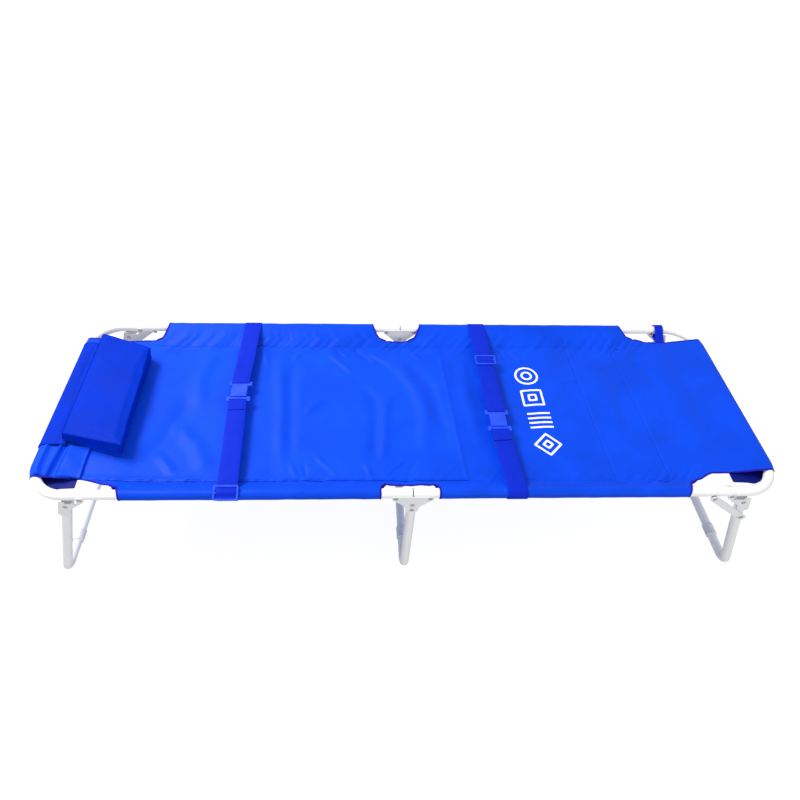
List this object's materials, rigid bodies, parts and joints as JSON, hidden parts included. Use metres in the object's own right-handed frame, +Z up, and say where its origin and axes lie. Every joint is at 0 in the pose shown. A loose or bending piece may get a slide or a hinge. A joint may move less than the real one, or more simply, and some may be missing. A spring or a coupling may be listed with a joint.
{
  "type": "folding stretcher",
  "caption": "Free-standing rescue stretcher: tubular top frame that folds at a middle leg, folding end legs, fabric bed, pillow and buckled belts.",
  "frame": {"origin": "on the floor, midway between the rails, in the plane where the two frame halves meet", "axes": "+X along the bed towards the foot end, +Y across to the far rail (the side of the head brace), +Z up"},
  "size_m": [1.9458, 0.6606, 0.4376],
  "materials": {
    "frame_paint": "glossy white powder coat",
    "leg_paint": "satin light grey powder coat",
    "plate_paint": "satin light grey powder coat on pressed steel",
    "rivet_zinc": "zinc-plated steel",
    "plug_plastic": "moulded light grey",
    "pad_plastic": "moulded light grey",
    "washer_plastic": "moulded white",
    "sheet_fabric": "coated blue oxford weave",
    "patch_fabric": "coated blue oxford weave",
    "pillow_fabric": "coated blue oxford weave",
    "webbing": "ribbed polypropylene webbing",
    "buckle_plastic": "moulded blue acetal"
  },
  "bodies": {
    "middle": {"middle_leg_tube": "leg_paint", "middle_leg_pads": "pad_plastic", "middle_plate_near_outer": "plate_paint", "middle_plate_near_inner": "plate_paint", "middle_plate_far_outer": "plate_paint", "middle_plate_far_inner": "plate_paint", "middle_hinge_rivets": "rivet_zinc", "middle_leg_rivets": "rivet_zinc", "sheet_middle": "sheet_fabric", "patch_middle": "patch_fabric"},
    "head_half": {"head_frame_tube": "frame_paint", "head_rail_plugs": "plug_plastic", "head_leg_bracket_near": "plate_paint", "head_leg_bracket_far": "plate_paint", "head_bracket_rivets": "rivet_zinc", "head_leg_pivot_rivets": "rivet_zinc", "head_brace_rivet": "rivet_zinc", "head_brace_washer": "washer_plastic", "sheet_head": "sheet_fabric", "patch_head": "patch_fabric", "chest_belt_webbing": "webbing", "chest_buckle_socket": "buckle_plastic", "pillow": "pillow_fabric", "pillow_flap": "pillow_fabric", "head_strip": "sheet_fabric"},
    "foot_half": {"foot_frame_tube": "frame_paint", "foot_rail_plugs": "plug_plastic", "foot_leg_bracket_near": "plate_paint", "foot_leg_bracket_far": "plate_paint", "foot_bracket_rivets": "rivet_zinc", "foot_leg_pivot_rivets": "rivet_zinc", "foot_brace_rivet": "rivet_zinc", "foot_brace_washer": "washer_plastic", "sheet_foot": "sheet_fabric", "patch_foot": "patch_fabric", "leg_belt_webbing": "webbing", "leg_buckle_socket": "buckle_plastic", "carry_loop": "webbing"},
    "head_leg": {"head_leg_tube": "leg_paint", "head_leg_plugs": "plug_plastic", "head_leg_pads": "pad_plastic", "head_leg_stud": "rivet_zinc"},
    "foot_leg": {"foot_leg_tube": "leg_paint", "foot_leg_plugs": "plug_plastic", "foot_leg_pads": "pad_plastic", "foot_leg_stud": "rivet_zinc"},
    "head_brace_arm": {"head_brace": "plate_paint"},
    "foot_brace_arm": {"foot_brace": "plate_paint"},
    "chest_tongue": {"chest_buckle_tongue": "buckle_plastic", "chest_belt_tab": "webbing"},
    "chest_slider": {"chest_belt_slider": "buckle_plastic"},
    "leg_tongue": {"leg_buckle_tongue": "buckle_plastic", "leg_belt_tab": "webbing"},
    "leg_slider": {"leg_belt_slider": "buckle_plastic"}
  },
  "joints": [
    {"name": "head_half_fold", "type": "hinge", "parent": "middle", "child": "head_half", "pos_m": [-0.043, 0, 0.388], "axis": [0, -1, 0], "range_deg": [0, 87.5]},
    {"name": "foot_half_fold", "type": "hinge", "parent": "middle", "child": "foot_half", "pos_m": [0.043, 0, 0.388], "axis": [0, 1, 0], "range_deg": [0, 87.5]},
    {"name": "head_leg_fold", "type": "hinge", "parent": "head_half", "child": "head_leg", "pos_m": [-0.848, 0, 0.362], "axis": [0, -1, 0], "range_deg": [0, 106]},
    {"name": "foot_leg_fold", "type": "hinge", "parent": "foot_half", "child": "foot_leg", "pos_m": [0.848, 0, 0.362], "axis": [0, 1, 0], "range_deg": [0, 106]},
    {"name": "head_brace_lift", "type": "hinge", "parent": "head_half", "child": "head_brace_arm", "pos_m": [-0.76202, 0.3252, 0.38399], "axis": [0, 1, 0], "range_deg": [0, 38]},
    {"name": "foot_brace_lift", "type": "hinge", "parent": "foot_half", "child": "foot_brace_arm", "pos_m": [0.76202, -0.3252, 0.38399], "axis": [0, -1, 0], "range_deg": [0, 38]},
    {"name": "chest_slider_travel", "type": "hinge", "parent": "head_half", "child": "chest_slider", "pos_m": [-0.456, -0.3075, 0.392], "axis": [1, 0, 0], "range_deg": [-22, 12]},
    {"name": "leg_slider_travel", "type": "slide", "parent": "foot_half", "child": "leg_slider", "axis": [0, 1, 0], "range_m": [-0.07, 0.11]},
    {"name": "chest_buckle_release", "type": "slide", "parent": "head_half", "child": "chest_tongue", "axis": [0, 1, 0], "range_m": [0, 0.038]},
    {"name": "leg_buckle_release", "type": "slide", "parent": "foot_half", "child": "leg_tongue", "axis": [0, 1, 0], "range_m": [0, 0.038]}
  ],
  "couplings": [
    {"joint": "foot_half_fold", "follows": "head_half_fold", "ratio": 1},
    {"joint": "head_leg_fold", "follows": "head_half_fold", "ratio": 1.211},
    {"joint": "foot_leg_fold", "follows": "head_half_fold", "ratio": 1.211},
    {"joint": "head_brace_lift", "follows": "head_half_fold", "ratio": 0.434},
    {"joint": "foot_brace_lift", "follows": "head_half_fold", "ratio": 0.434}
  ]
}
